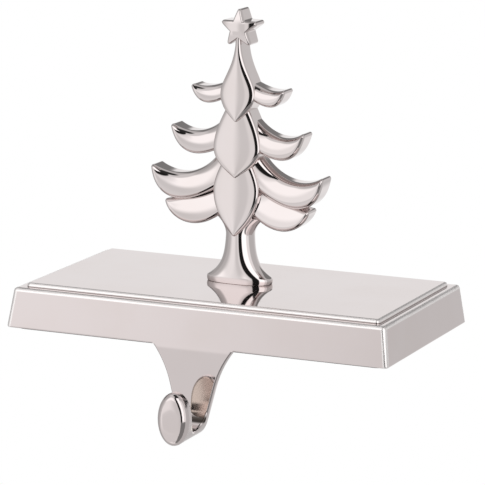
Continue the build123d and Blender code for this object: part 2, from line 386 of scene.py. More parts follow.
@dataclass(frozen=True)
class PolishedNickel(Finish):
    """Polished nickel plating: nearly a mirror, with faint orange peel and hairlines.

    Attributes:
        tint: Colour of the plating.
        cloud_tint: Share of each channel in its duller clouds.
        thin_tint: Warmer colour where the plating is thin, behind the lip.
        edge_highlight_tint: Painted highlight colour on the base's rounded edges.
        corner_shade_tint: Dark colour of the painted shade lines at the plinth's foot and on the
            throat's floor.
        foot_shade: Strength of the painted shade line at the plinth's foot.
        gloss: Roughness of the polished surface.
        haze: Extra roughness of the clouds.
        grain_haze: Extra roughness of the grain.
        buffed_haze: Extra roughness of the base's rounded edges, which also carry the painted
            highlight.
        back_haze: Extra roughness behind the lip.
        side_haze: Extra roughness of the lip's side.
        peel: Height of the orange peel in millimetres.
        hairline: Height of the polishing hairlines in millimetres.
        marked: Whether the piece is the base, with its marks: painted highlights, painted shade and
            duller places.
    """

    tint: Rgb = (0.745, 0.685, 0.678)
    cloud_tint: Rgb = (0.975, 0.965, 0.955)
    thin_tint: Rgb = (1.0, 0.90, 0.78)
    edge_highlight_tint: Rgb = (0.93, 0.89, 0.88)
    corner_shade_tint: Rgb = (0.06, 0.05, 0.045)
    foot_shade: float = 0.75
    gloss: float = 0.035
    haze: float = 0.035
    grain_haze: float = 0.02
    buffed_haze: float = 0.26
    back_haze: float = 0.2
    side_haze: float = 0.16
    peel: float = 0.0012
    hairline: float = 0.00012
    marked: bool = False

    clouds = Mottle(38.0, 4.0, 0.55)
    grains = Mottle(900.0, 2.0, 0.6)
    strokes = Mottle(1.0, 2.0, 0.7)
    peels = Mottle(210.0, 1.0, 0.4)
    stroke_scale = (90.0, 700.0, 5200.0)
    tint_clouds = (0.35, 0.75)
    haze_clouds = (0.45, 0.8)
    haze_grains = (0.6, 0.85)
    thin_clouds = (0.25, 0.6)
    thin_least = 0.7

    def surface(self, graph: Graph) -> bpy.types.Node:
        """Adds the plating's nodes.

        Args:
            graph: Graph to add to.

        Returns:
            The shader.
        """
        place = graph.place()
        cloud, grain = graph.noise(place, self.clouds), graph.noise(place, self.grains)
        drawn = graph.node("ShaderNodeMapping", None, {"Vector": place, "Scale": self.stroke_scale})
        relief = graph.noise(place, self.peels) * self.peel
        relief = relief + graph.noise(drawn, self.strokes) * self.hairline
        dull_tint = tuple(channel * share for channel, share in zip(self.tint, self.cloud_tint))
        colour = graph.blend(graph.span(cloud, *self.tint_clouds), self.tint, dull_tint)
        roughness = self.gloss + self.haze * graph.span(cloud, *self.haze_clouds)
        roughness = roughness + self.grain_haze * graph.span(grain, *self.haze_grains)
        if self.marked:
            parts = graph.node("ShaderNodeSeparateXYZ", None, {"Vector": place})
            share = {mark: mark.share(graph, parts) for mark in Mark}
            # Painted highlight: the rounded edges of the block and plinth get a brighter tint; they
            # are also made rougher
            buffed_and_highlit = share[Mark.BLOCK_RIM].most(share[Mark.PLINTH_RIM])
            buffed_and_highlit = buffed_and_highlit.most(share[Mark.BLOCK_CORNERS])
            worn = (1.0 - self.thin_least) * graph.span(cloud, *self.thin_clouds)
            thin = share[Mark.LIP_BACK] * (self.thin_least + worn)
            for part, tint in (
                (buffed_and_highlit, self.edge_highlight_tint),
                # painted shade line at the plinth's foot
                (self.foot_shade * share[Mark.PLINTH_FOOT], self.corner_shade_tint),
                (thin, self.thin_tint),
                # painted dark reflection on the throat's floor
                (share[Mark.THROAT_FLOOR], self.corner_shade_tint),
            ):
                colour = graph.blend(part, colour, tint)
            roughness = roughness + self.buffed_haze * buffed_and_highlit
            roughness = roughness + self.back_haze * share[Mark.LIP_BACK]
            roughness = roughness + self.side_haze * share[Mark.LIP_SIDE]
        looks = {"Base Color": colour, "Metallic": 1.0, "Roughness": roughness}
        return graph.principled(relief, looks)


@dataclass(frozen=True)
class ZincSteel(Finish):
    """Zinc-plated steel of the screw: satin, with a cloudy sheen.

    Attributes:
        tint: Colour of the zinc.
        dull: Colour of its duller clouds.
        relief: Height of its grain in millimetres.
        gloss: Roughness of the brightest places.
        haze: Extra roughness of the clouds.
    """

    tint: Rgb = (0.60, 0.59, 0.57)
    dull: Rgb = (0.46, 0.455, 0.45)
    relief: float = 0.006
    gloss: float = 0.28
    haze: float = 0.18

    clouds = Mottle(420.0, 4.0, 0.6)
    grains = Mottle(3800.0, 2.0, 0.6)
    dull_clouds = (0.4, 0.7)

    def surface(self, graph: Graph) -> bpy.types.Node:
        """Adds the zinc's nodes.

        Args:
            graph: Graph to add to.

        Returns:
            The shader.
        """
        place = graph.place()
        cloud = graph.noise(place, self.clouds)
        looks = {
            "Base Color": graph.blend(graph.span(cloud, *self.dull_clouds), self.tint, self.dull),
            "Metallic": 1.0,
            "Roughness": self.gloss + self.haze * cloud,
        }
        return graph.principled(graph.noise(place, self.grains) * self.relief, looks)


@dataclass(frozen=True)
class FoamRubber(Finish):
    """Matt black non-slip rubber with fine pores and a little dust.

    Attributes:
        tint: Colour of the rubber.
        dust: Colour of the dusty places.
        relief: Depth of the pores in millimetres.
        gloss: Roughness of the cleanest places.
        haze: Extra roughness of the dust.
        sheen: Strength of the reflections.
    """

    tint: Rgb = (0.022, 0.022, 0.024)
    dust: Rgb = (0.075, 0.073, 0.070)
    relief: float = 0.05
    gloss: float = 0.78
    haze: float = 0.18
    sheen: float = 0.35

    clouds = Mottle(90.0, 5.0, 0.6)
    dust_clouds = (0.45, 0.8)
    pore_scale = 2600.0

    def surface(self, graph: Graph) -> bpy.types.Node:
        """Adds the rubber's nodes.

        Args:
            graph: Graph to add to.

        Returns:
            The shader.
        """
        place = graph.place()
        cloud = graph.noise(place, self.clouds)
        cells = {"Vector": place, "Scale": self.pore_scale}
        pores = graph.node("ShaderNodeTexVoronoi", {"feature": "F1"}, cells)
        looks = {
            "Base Color": graph.blend(graph.span(cloud, *self.dust_clouds), self.tint, self.dust),
            "Roughness": self.gloss + self.haze * cloud,
            "Specular IOR Level": self.sheen,
        }
        return graph.principled(graph.signal(pores, "Distance") * self.relief, looks)


@dataclass(frozen=True)
class PaleFloor(Finish):
    """Pale studio floor: white to the camera and in the plating, clear from below.

    Attributes:
        tint: Colour of the floor under the lamps.
    """

    tint: Rgb = (0.93, 0.93, 0.93)

    def surface(self, graph: Graph) -> bpy.types.Node:
        """Adds the floor's nodes.

        Args:
            graph: Graph to add to.

        Returns:
            The shader.
        """
        matt = graph.node("ShaderNodeBsdfDiffuse", None, {"Color": self.tint})
        white = graph.node("ShaderNodeEmission", None, {"Color": WHITE, "Strength": 1.0})
        floor = graph.node("ShaderNodeMixShader", None, {0: graph.seen(), 1: matt, 2: white})
        below = graph.node("ShaderNodeNewGeometry").outputs["Backfacing"]
        clear = graph.node("ShaderNodeBsdfTransparent")
        return graph.node("ShaderNodeMixShader", None, {0: below, 1: floor, 2: clear})


@dataclass(frozen=True)
class TentCloth(Finish):
    """Cloth of the studio tent, as bright as its point attribute says.

    Attributes:
        attribute: Point attribute with the brightness.
    """

    attribute: str

    def surface(self, graph: Graph) -> bpy.types.Node:
        """Adds the cloth's nodes.

        Args:
            graph: Graph to add to.

        Returns:
            The shader.
        """
        shade = graph.node("ShaderNodeAttribute", {"attribute_name": self.attribute})
        glow = {"Color": WHITE, "Strength": shade.outputs["Fac"]}
        return graph.node("ShaderNodeEmission", None, glow)

    def build(self) -> bpy.types.Material:
        """Builds the material, which the plating mirrors and which isn't a lamp.

        Returns:
            The finished material.
        """
        material = super().build()
        material.cycles.emission_sampling = "NONE"
        return material


def link(name: str, data: bpy.types.ID) -> bpy.types.Object:
    """Makes an object of a mesh, a lamp or a camera and links it to the scene.

    Args:
        name: Object name.
        data: What the object shows.

    Returns:
        The object, at the origin.
    """
    made = bpy.data.objects.new(name, data)
    bpy.context.scene.collection.objects.link(made)
    return made


def link_mesh(
    name: str, points: np.ndarray, faces: Sequence[Sequence[int]], weld: float = 2e-7
) -> bpy.types.Object:
    """Makes a smooth mesh object from points in millimetres and joins points that coincide.

    Args:
        name: Object name.
        points: Points, one row each, in millimetres.
        faces: Point numbers of each face.
        weld: Distance in metres at which points are joined.

    Returns:
        The object, linked to the scene, at the origin.
    """
    mesh = bpy.data.meshes.new(name)
    mesh.from_pydata((points * MM).tolist(), [], [list(face) for face in faces])
    work = bmesh.new()
    work.from_mesh(mesh)
    bmesh.ops.remove_doubles(work, verts=work.verts, dist=weld)
    bmesh.ops.dissolve_degenerate(work, edges=work.edges, dist=weld / 2)
    bmesh.ops.recalc_face_normals(work, faces=work.faces)
    for face in work.faces:
        face.smooth = True
    work.to_mesh(mesh)
    work.free()
    return link(name, mesh)


def grow(
    carrier: bpy.types.Object,
    name: str,
    sizes: dict[str, Union[float, int]],
    added: Callable[[Graph, bpy.types.Node], bpy.types.NodeSocket],
    material: bpy.types.Material,
    smooth: bool,
) -> bpy.types.Object:
    """Adds what repeats to a shape with geometry nodes and makes both one plain mesh.

    Args:
        carrier: Object with the bare shape; it is removed.
        name: Name of the finished piece.
        sizes: Named inputs of the node tree: counts, turns and lengths in metres.
        added: Adds the nodes of what repeats and returns the socket with its geometry.
        material: Finish of the piece.
        smooth: Whether its faces are shaded smooth.

    Returns:
        The plain object.
    """
    tree = bpy.data.node_groups.new(name, "GeometryNodeTree")
    for way in ("INPUT", "OUTPUT"):
        tree.interface.new_socket("Geometry", in_out=way, socket_type="NodeSocketGeometry")
    keys = {}
    for size, value in sizes.items():
        kind = "NodeSocketInt" if isinstance(value, int) else "NodeSocketFloat"
        keys[size] = tree.interface.new_socket(size, in_out="INPUT", socket_type=kind).identifier
    graph = Graph(tree)
    source = graph.node("NodeGroupInput")
    both = graph.node("GeometryNodeJoinGeometry", None, {"Geometry": source.outputs["Geometry"]})
    tree.links.new(added(graph, source), both.inputs["Geometry"])
    solid = graph.node("GeometryNodeRealizeInstances", None, {"Geometry": both})
    dressed = {"Geometry": solid, "Material": material}
    finished = graph.node("GeometryNodeSetMaterial", None, dressed)
    graph.node("NodeGroupOutput", None, {"Geometry": finished})
    modifier = carrier.modifiers.new(name, "NODES")
    modifier.node_group = tree
    for size, value in sizes.items():
        modifier[keys[size]] = value
    bpy.context.view_layer.update()
    ready = carrier.evaluated_get(bpy.context.evaluated_depsgraph_get())
    mesh = bpy.data.meshes.new_from_object(ready)
    mesh.name = name
    for polygon in mesh.polygons:
        polygon.use_smooth = smooth
    bpy.data.objects.remove(carrier)
    return link(name, mesh)


def dress(piece: bpy.types.Object, material: bpy.types.Material) -> None:
    """Gives a piece one material."""
    piece.data.materials.clear()
    piece.data.materials.append(material)


def weigh_normals(piece: bpy.types.Object) -> None:
    """Keeps flat faces flat beside rounded edges, by weighting the shading by face area.

    Args:
        piece: The piece to shade.
    """
    weighted = piece.modifiers.new("weighted_shading", "WEIGHTED_NORMAL")
    weighted.mode = "FACE_AREA"
    weighted.keep_sharp = True


def settle(piece: bpy.types.Object, part: Part) -> bpy.types.Object:
    """Puts a finished piece in the place of its solid.

    Args:
        piece: The finished piece.
        part: Solid that it replaces, with its slot.

    Returns:
        The same piece.
    """
    node, slot = part.value
    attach(piece, BODY)
    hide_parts(node)
    return piece


class Shell:
    """Points and faces of closed shells, gathered into one mesh."""

    def __init__(self) -> None:
        """Starts with no points."""
        self.points: list[np.ndarray] = []
        self.faces: list[list[int]] = []
        self.count = 0

    def add(self, points: np.ndarray, faces: Sequence[Sequence[int]]) -> None:
        """Adds one shell.

        Args:
            points: Points in millimetres, one row each.
            faces: Point numbers within this shell.
        """
        self.points.append(points)
        self.faces.extend([[index + self.count for index in face] for face in faces])
        self.count += len(points)

    def add_rings(self, rings: np.ndarray, start_cap: bool = True, end_cap: bool = True) -> None:
        """Adds a skin over closed rings of equal length.

        Args:
            rings: Array of rings, points and coordinates.
            start_cap: Whether the first ring is closed by a face.
            end_cap: Whether the last ring is closed by a face.
        """
        turns, around = rings.shape[:2]
        faces: list[list[int]] = []
        for ring in range(turns - 1):
            low = ring * around
            for step in range(around):
                after = (step + 1) % around
                faces.append([low + step, low + after, low + around + after, low + around + step])
        if start_cap:
            faces.append(list(range(around))[::-1])
        if end_cap:
            faces.append(list(range((turns - 1) * around, turns * around)))
        self.add(rings.reshape(-1, 3), faces)

    def build(self, name: str) -> bpy.types.Object:
        """Makes the mesh object of all shells."""
        return link_mesh(name, np.concatenate(self.points), self.faces)


def bezier(corners: Sequence[Sequence[float]], steps: int = 1200) -> np.ndarray:
    """Points on a cubic curve.

    Args:
        corners: The curve's four control points.
        steps: Number of points.

    Returns:
        Points, one row each.
    """
    share = np.linspace(0.0, 1.0, steps)[:, None]
    rest = 1.0 - share
    pulls = (rest**3, 3 * rest**2 * share, 3 * rest * share**2, share**3)
    return sum(pull * corner for pull, corner in zip(pulls, np.asarray(corners, float)))


def inward(path: np.ndarray, turn: float) -> np.ndarray:
    """Unit normals of a path.

    Args:
        path: Points of the path.
        turn: 1 for normals to its right, -1 for normals to its left.

    Returns:
        Normals, one row each.
    """
    run = np.gradient(path, axis=0)
    run /= np.linalg.norm(run, axis=1)[:, None]
    return turn * np.stack([run[:, 1], -run[:, 0]], axis=1)


def arc(middle: np.ndarray, start: np.ndarray, end: np.ndarray, steps: int = 200) -> np.ndarray:
    """Points of the short arc round a middle from one point to the direction of another.

    Args:
        middle: Centre of the arc.
        start: First point of the arc.
        end: Point whose direction ends the arc.
        steps: Number of points.

    Returns:
        Points, one row each.
    """
    radius = np.linalg.norm(start - middle)
    first = math.atan2(*(start - middle)[::-1])
    last = math.atan2(*(end - middle)[::-1])
    turn = (last - first + math.pi) % FULL_TURN - math.pi
    angle = first + turn * np.linspace(0.0, 1.0, steps)
    return middle + radius * np.stack([np.cos(angle), np.sin(angle)], axis=1)


def along(path: np.ndarray, shares: np.ndarray) -> np.ndarray:
    """Points of a path at shares of its length.

    Args:
        path: Points of the path.
        shares: Shares from 0 to 1.

    Returns:
        Points, one row each.
    """
    steps = np.linalg.norm(np.diff(path, axis=0), axis=1)
    reach = np.concatenate([[0.0], np.cumsum(steps)])
    reach /= reach[-1]
    return np.stack([np.interp(shares, reach, path[:, axis]) for axis in (0, 1)], axis=1)


def circle(steps: int) -> np.ndarray:
    """Points of a circle of radius one."""
    angle = np.linspace(0.0, FULL_TURN, steps, endpoint=False)
    return np.stack([np.cos(angle), np.sin(angle)], axis=1)


def circle_middle(corners: np.ndarray) -> np.ndarray:
    """Middle of the circle through three points, from the equations of its equal distances."""
    rows = 2 * np.diff(corners, axis=0)
    return np.linalg.solve(rows, np.diff((corners**2).sum(axis=1)))


def level_ring(section: np.ndarray, level: float) -> np.ndarray:
    """Ring of points from a section across and in depth, at one level."""
    return np.column_stack([section, np.full(len(section), level)])


def distance(points: np.ndarray, path: np.ndarray, batch: int = 2000) -> np.ndarray:
    """Distance from each point to a path of straight pieces.

    Args:
        points: Points, one row each.
        path: Corner points of the path.
        batch: Number of points taken at a time.

    Returns:
        Distances, one for each point.
    """
    start, run = path[:-1], np.diff(path, axis=0)
    square = np.maximum((run**2).sum(axis=1), 1e-18)
    nearest = np.full(len(points), np.inf)
    for low in range(0, len(points), batch):
        part = points[low : low + batch, None, :] - start[None]
        share = np.clip((part * run).sum(axis=2) / square, 0.0, 1.0)
        gap = np.linalg.norm(part - share[..., None] * run, axis=2)
        nearest[low : low + batch] = gap.min(axis=1)
    return nearest


def round_drop(gap: np.ndarray, radius: float) -> np.ndarray:
    """How far a rounded edge falls below its face at a distance from the edge."""
    inside = radius - np.minimum(gap, radius)
    return radius - np.sqrt(np.maximum(radius**2 - inside**2, 0.0))


@dataclass(frozen=True)
class Rim:
    """Cross section of a front rim, in millimetres: a soft roll that ends in a tight round.

    Attributes:
        radius: Radius of the tight round.
        roll: How far the roll falls before the round.
        reach: How far in from the edge the roll starts.
    """

    radius: float
    roll: float
    reach: float

    def drop(self, gap: np.ndarray) -> np.ndarray:
        """How far the rim falls below its face at a distance from the edge."""
        roll = self.roll * np.maximum(1.0 - gap / self.reach, 0.0) ** 2
        return round_drop(gap, self.radius) + roll


def rim_shares(half: float, reach: float, rim_steps: int, face_steps: int) -> np.ndarray:
    """Shares across a piece from rim to rim, close together where the rim is round.

    Args:
        half: Half of the width there.
        reach: How far in from the edge the rim starts.
        rim_steps: Steps on each rim.
        face_steps: Steps between each rim and the middle.

    Returns:
        Shares from 0 to 1.
    """
    # The close steps go a little past the rim, but leave some face on a narrow piece
    margin, most = 1.1, 0.7
    zone = min(margin * reach / max(half, 1e-6), most)
    angle = np.linspace(0.0, QUARTER_TURN, rim_steps + 1)
    near = zone * (1.0 - np.cos(angle))
    far = np.linspace(zone, 1.0, face_steps + 1)[1:]
    side = np.concatenate([near, far]) / 2
    return np.concatenate([side, 1.0 - side[-2::-1]])


@dataclass(frozen=True)
class Leaf:
    """One domed middle leaf of the tree, in millimetres above the plinth.

    Attributes:
        top: Height of its top.
        shoulder: Height that pulls the upper curve.
        widest: Height of its widest place.
        tip: Height of its lower tip before rounding.
        top_half: Half width at the top.
        shoulder_half: Half width that pulls the upper curve.
        half: Half width at the widest place.
        crest: How far the crest stands out at the top, the widest place and the tip.
        rim: Cross section of its rim.
    """

    top: float
    shoulder: float
    widest: float
    tip: float
    top_half: float
    shoulder_half: float
    half: float
    crest: tuple[float, float, float]
    rim: Rim

    low_pull = 0.41
    high_pull = 0.26
    tip_pull = 0.24
    tip_share = 0.53
    tip_round = 1.2
    rim_step = 0.6
    least_half = 0.4

    def side(self) -> np.ndarray:
        """Right-hand outline from the top down to the rounded tip.

        Returns:
            Points of the outline.
        """
        drop = self.widest - self.tip
        rise = self.top - self.widest
        middle = (self.half, self.widest)
        upper = bezier(
            (
                (self.top_half, self.top),
                (self.shoulder_half, self.shoulder),
                (self.half, self.widest + self.high_pull * rise),
                middle,
            )
        )
        lower = bezier(
            (
                middle,
                (self.half, self.widest - self.low_pull * drop),
                (self.tip_share * self.half, self.tip + self.tip_pull * drop),
                (0.0, self.tip),
            ),
            CURVE_STEPS,
        )
        inset = lower + self.tip_round * inward(lower, 1.0)
        last = int(np.argmax(inset[:, 0] <= 0.0))
        middle_of_tip = np.array([0.0, inset[last, 1]])
        tip = arc(middle_of_tip, lower[last], middle_of_tip - (0.0, self.tip_round))
        tip[-1, 0] = 0.0
        return np.concatenate([upper[:-1], lower[:last], tip])

    def dome(self, front: float) -> Plan:
        """Depth of the pillow-shaped front.

        Args:
            front: Depth of the plane that the crest stands out from.

        Returns:
            Function of place across and height.
        """
        fall = self.crest[1] - self.rim_step
        crests = np.stack([self.crest, (self.top, self.widest, self.tip)], axis=1)
        middle = circle_middle(crests)
        bend = math.hypot(*(crests[0] - middle))
        sign = math.copysign(1.0, crests[1, 0] - middle[0])
        side = self.side()[::-1]

        def depth(across: np.ndarray, height: np.ndarray) -> np.ndarray:
            """Depth of the dome.

            Args:
                across: Places across the leaf.
                height: Heights on the leaf.

            Returns:
                Depths at these places.
            """
            reach = np.maximum(bend**2 - (height - middle[1]) ** 2, 0.0)
            crest = middle[0] + sign * np.sqrt(reach)
            half = np.maximum(np.interp(height, side[:, 1], side[:, 0]), self.least_half)
            return front - crest + fall * np.sqrt(half / self.half) * (across / half) ** 2

        return depth


@dataclass(frozen=True)
class Branch:
    """One curled branch of the right-hand side, in millimetres above the plinth.

    Attributes:
        high: Control points of the upper curve from the root to the tip.
        low: Control points of the lower curve from the root to the tip.
        crest: How far the tip of the dome stands out.
        tilt: How far the front is tilted up, in degrees.
    """

    high: tuple[tuple[float, float], ...]
    low: tuple[tuple[float, float], ...]
    crest: float
    tilt: float

    tip_round = 0.9
    dome_share = 0.75
    lean = math.radians(4.0)
    tip_start = 2400
    coarse_step = 8
    fine_reach = 12

    def sides(self) -> tuple[np.ndarray, np.ndarray]:
        """Upper and lower outlines from the root to the middle of the rounded tip.

        Returns:
            Points of both outlines.
        """
        high, low = (bezier(corners, CURVE_STEPS) for corners in (self.high, self.low))
        high_in = high + self.tip_round * inward(high, 1.0)
        low_in = low + self.tip_round * inward(low, -1.0)
        # The tip's round stands where both inset curves meet: a coarse search, then a fine one
        spans = [np.arange(self.tip_start, CURVE_STEPS, self.coarse_step)] * 2
        for _ in range(2):
            gap = np.linalg.norm(high_in[spans[0]][:, None] - low_in[spans[1]][None], axis=2)
            nearest = np.unravel_index(int(gap.argmin()), gap.shape)
            ends = [int(span[place]) for span, place in zip(spans, nearest)]
            starts = [max(end - self.fine_reach, 0) for end in ends]
            stops = [min(end + self.fine_reach + 1, CURVE_STEPS) for end in ends]
            spans = [np.arange(start, stop) for start, stop in zip(starts, stops)]
        middle = (high_in[ends[0]] + low_in[ends[1]]) / 2
        tip = np.asarray(self.high[3])
        upper = np.concatenate([high[: ends[0]], arc(middle, high[ends[0]], tip)])
        lower = np.concatenate([low[: ends[1]], arc(middle, low[ends[1]], tip)])
        lower[-1] = upper[-1]
        return upper, lower

    def dome(self, front: float) -> Plan:
        """Depth of the front: domed across the branch's curve, tilted up, leaning to the root.

        Args:
            front: Depth of the plane that the crest stands out from.

        Returns:
            Function of place across and height.
        """
        half = np.array([0.5])
        root = (np.asarray(self.high[0]) + np.asarray(self.low[0])) / 2
        waist = (along(bezier(self.high), half) + along(bezier(self.low), half))[0] / 2
        tip = np.asarray(self.high[3])
        middle = circle_middle(np.stack([root, waist, tip]))
        radius = float(np.linalg.norm(tip - middle))
        tube = self.dome_share * radius
        slope = math.tan(math.radians(self.tilt))

        def depth(across: np.ndarray, height: np.ndarray) -> np.ndarray:
            """Depth of the dome.

            Args:
                across: Places across the branch.
                height: Heights on the branch.

            Returns:
                Depths at these places.
            """
            off = np.hypot(across - middle[0], height - middle[1]) - radius
            fall = tube - np.sqrt(np.maximum(tube**2 - off**2, 0.0)) - off * slope
            return front - self.crest + fall + (tip[0] - across) * math.tan(self.lean)

        return depth


@dataclass
class TreeCasting:
    """Cast ornamental tree: foot, trunk, leaves, curled branches and star, in millimetres.

    Heights are above the plinth that the foot stands on.
    """

    plinth_top: float = PLINTH_TOP
    front: float = -4.0
    back: float = 5.2
    back_round: float = 1.2
    back_step: float = 0.02
    web_front: float = 2.0
    web_back: float = 5.22
    web_end: float = 2.0
    web_margin: float = 1.5
    web_least: float = 0.2
    web_edge: float = 0.05
    web_steps: int = 90
    front_steps: tuple[int, int] = (12, 6)
    back_steps: tuple[int, int] = (5, 1)
    outline_steps: int = 700
    tip_fade: float = 0.12
    leaf_rungs: int = 130
    branch_rungs: int = 104
    branch_rims: tuple[Rim, Rim] = (Rim(1.8, 0.5, 3.0), Rim(1.6, 0.2, 2.2))
    foot_length: float = 25.8
    foot_width: float = 11.9
    foot_square: float = 2.6
    foot_height: float = 6.0
    rim_middle: float = 1.3
    rim_half: float = 1.6
    rim_tuck: float = 0.118
    flare_start: float = 2.22
    flare_height: float = 4.4
    flare_blend: float = 0.03
    trunk_length: float = 10.6
    trunk_width: float = 10.6
    trunk_set_back: float = 1.2
    crown_length: float = 19.4
    crown_width: float = 8.4
    crown_start: float = 18.0
    crown_top: float = 25.0
    star_middle: float = 96.3
    star_radius: float = 9.2
    star_inner: float = 3.75
    star_points: int = 5
    star_tip: float = 0.95
    star_notch: float = 0.5
    star_crest: float = 1.3
    star_dome: float = 20.0
    star_rim: float = 0.7
    star_puff: float = 0.9
    star_back_round: float = 1.6
    star_corner_steps: int = 11
    star_steps: int = 240
    star_hub: float = 0.985
    star_front_rim: float = 0.55
    star_back_rim: float = 0.4
    star_back_face: float = 0.6
    star_rings: tuple[int, int] = (19, 9)
    hole_radius: float = 2.05
    hole_depth: float = 10.0
    trunk_steps: int = 112
    trunk_rings: tuple[int, int] = (37, 50)
    leaves: tuple[Leaf, ...] = (
        Leaf(94.0, 82.0, 71.8, 61.4, 1.1, 0.7, 6.9, (0.8, 1.6, 2.2), Rim(0.5, 0.24, 1.8)),
        Leaf(72.0, 63.5, 51.5, 40.3, 1.5, 6.3, 9.4, (0.7, 1.7, 2.0), Rim(0.6, 0.25, 1.8)),
        Leaf(53.0, 45.0, 35.5, 18.0, 2.0, 6.5, 9.2, (0.7, 1.7, 2.1), Rim(0.8, 0.15, 1.6)),
    )
    branches: tuple[Branch, ...] = (
        Branch(
            ((3.0, 77.5), (8.0, 74.6), (14.5, 72.2), (19.3, 75.2)),
            ((3.0, 71.0), (6.5, 69.6), (16.2, 62.1), (19.3, 75.2)),
            1.0,
            10.0,
        ),
        Branch(
            ((4.0, 65.5), (9.0, 57.5), (18.5, 53.0), (27.4, 59.9)),
            ((4.0, 52.5), (15.2, 46.0), (24.4, 45.0), (27.4, 59.9)),
            1.0,
            11.0,
        ),
        Branch(
            ((6.0, 54.0), (11.0, 41.5), (24.0, 36.0), (35.0, 43.6)),
            ((4.0, 39.5), (20.0, 26.5), (33.5, 27.0), (35.0, 43.6)),
            1.1,
            13.0,
        ),
        Branch(
            ((5.0, 38.0), (14.0, 35.5), (22.0, 31.0), (29.4, 30.0)),
            ((4.0, 28.5), (16.2, 15.8), (27.7, 22.5), (29.4, 30.0)),
            0.4,
            16.0,
        ),
    )
    shell: Shell = field(default_factory=Shell)

    def _domed(
        self,
        first: np.ndarray,
        second: np.ndarray,
        depth: Plan,
        rims: tuple[Rim, Rim],
        rungs: int,
        flip: bool = False,
        tuck: float = 0.0,
    ) -> None:
        """Adds a closed shell between two outlines that meet at a tip.

        Args:
            first: One outline from the root to the tip.
            second: The other outline from the root to the tip.
            depth: Depth of the domed front.
            rims: Cross sections of the front rims along both outlines.
            rungs: Number of cross sections from the root to the tip.
            flip: Whether the shell is mirrored to the left-hand side.
            tuck: How far its back lies in front of the tree's back.
        """
        shares = np.sin(np.linspace(0.0, QUARTER_TURN, rungs))
        left, right = along(first, shares), along(second, shares)
        front_rows, back_rows = [], []
        reach = max(rim.reach for rim in rims)
        for one, other in zip(left, right):
            half = float(np.linalg.norm(other - one)) / 2
            across = rim_shares(half, reach, *self.front_steps)[:, None]
            front_rows.append(one + across * (other - one))
            across = rim_shares(half, self.back_round, *self.back_steps)[::-1, None]
            back_rows.append(one + across * (other - one))
        front, back = np.stack(front_rows), np.stack(back_rows)
        even = np.linspace(0.0, 1.0, self.outline_steps)
        outlines = (along(first, even), along(second, even))
        # Towards the tip the first outline's rim turns into the second's
        fade = np.clip((1.0 - shares) / self.tip_fade, 0.0, 1.0)[:, None]
        side = -1.0 if flip else 1.0
        rings = []
        for rows, is_front in ((front, True), (back, False)):
            flat = rows.reshape(-1, 2)
            gaps = [distance(flat, outline).reshape(rows.shape[:2]) for outline in outlines]
            gaps[0][:, 0] = gaps[1][:, -1] = 0.0
            gaps[0][-1] = gaps[1][-1] = 0.0
            gap = np.minimum(*gaps)
            if is_front:
                share = fade * gaps[1] ** 2 / np.maximum(gaps[0] ** 2 + gaps[1] ** 2, 1e-12)
                fall = share * rims[0].drop(gap) + (1.0 - share) * rims[1].drop(gap)
                depths = depth(rows[..., 0], rows[..., 1]) + fall
            else:
                depths = self.back - tuck - round_drop(gap, self.back_round)
            across, level = side * rows[..., 0], rows[..., 1] + self.plinth_top
            rings.append(np.stack([across, depths, level], axis=2))
        self.shell.add_rings(np.concatenate(rings, axis=1), end_cap=False)

    def add_leaves(self) -> None:
        """Adds the three middle leaves."""
        for leaf in self.leaves:
            right, rims = leaf.side(), (leaf.rim, leaf.rim)
            left, dome = right * (-1.0, 1.0), leaf.dome(self.front)
            self._domed(left, right, dome, rims, self.leaf_rungs)

    def add_branches(self) -> None:
        """Adds four branches on the right and their mirror images on the left."""
        for number, branch in enumerate(self.branches, start=1):
            high, low = branch.sides()
            dome, tuck = branch.dome(self.front), number * self.back_step
            for flip in (False, True):
                self._domed(high, low, dome, self.branch_rims, self.branch_rungs, flip, tuck)

    def add_web(self) -> None:
        """Adds the flat web that joins the leaves and the branches' roots at the back."""
        low, high = self.leaves[-1].tip + self.web_end, self.leaves[0].top - self.web_end
        edge = self.web_edge
        inner = np.linspace(low + edge, high - edge, self.web_steps)
        levels = np.concatenate([[low], inner, [high]])
        halves = np.zeros_like(levels)
        for leaf in self.leaves:
            across, height = leaf.side()[::-1].T
            halves = np.maximum(halves, np.interp(levels, height, across, 0.0, 0.0))
        halves = np.maximum(halves - self.web_margin, self.web_least)
        section = ((0.0, self.web_front), (0.0, self.web_back - edge), (edge, self.web_back))
        rows = []
        for side, points in ((1.0, section), (-1.0, section[::-1])):
            for inset, deep in points:
                across, depths = side * (halves - inset), np.full_like(halves, deep)
                rows.append(np.stack([across, depths, levels + self.plinth_top], axis=1))
        self.shell.add_rings(np.stack(rows, axis=1))

    def _star_corners(self) -> np.ndarray:
        """Sharp corners of the star, tips and notches in turn.

        Returns:
            Points, one row each.
        """
        corners = []
        for step in range(2 * self.star_points):
            reach = self.star_inner if step % 2 else self.star_radius
            angle = QUARTER_TURN + step * math.pi / self.star_points
            corners.append((reach * math.cos(angle), self.star_middle + reach * math.sin(angle)))
        return np.array(corners)

    def _star_outline(self, corners: np.ndarray) -> np.ndarray:
        """Outline of the star with rounded corners.

        Args:
            corners: Sharp corners of the star.

        Returns:
            Points of the closed outline.
        """
        outline = []
        for step, corner in enumerate(corners):
            radius = self.star_notch if step % 2 else self.star_tip
            before, after = corners[step - 1], corners[(step + 1) % len(corners)]
            back = (before - corner) / np.linalg.norm(before - corner)
            ahead = (after - corner) / np.linalg.norm(after - corner)
            half = math.acos(float(np.clip(back @ ahead, -1, 1))) / 2
            bisector = (back + ahead) / np.linalg.norm(back + ahead)
            tangent = radius / math.tan(half)
            middle = corner + bisector * radius / math.sin(half)
            ends = corner + tangent * back, corner + tangent * ahead
            outline.append(arc(middle, *ends, self.star_corner_steps))
        closed = np.concatenate([*outline, outline[0][:1]])
        return along(closed, np.linspace(0.0, 1.0, self.star_steps, endpoint=False))

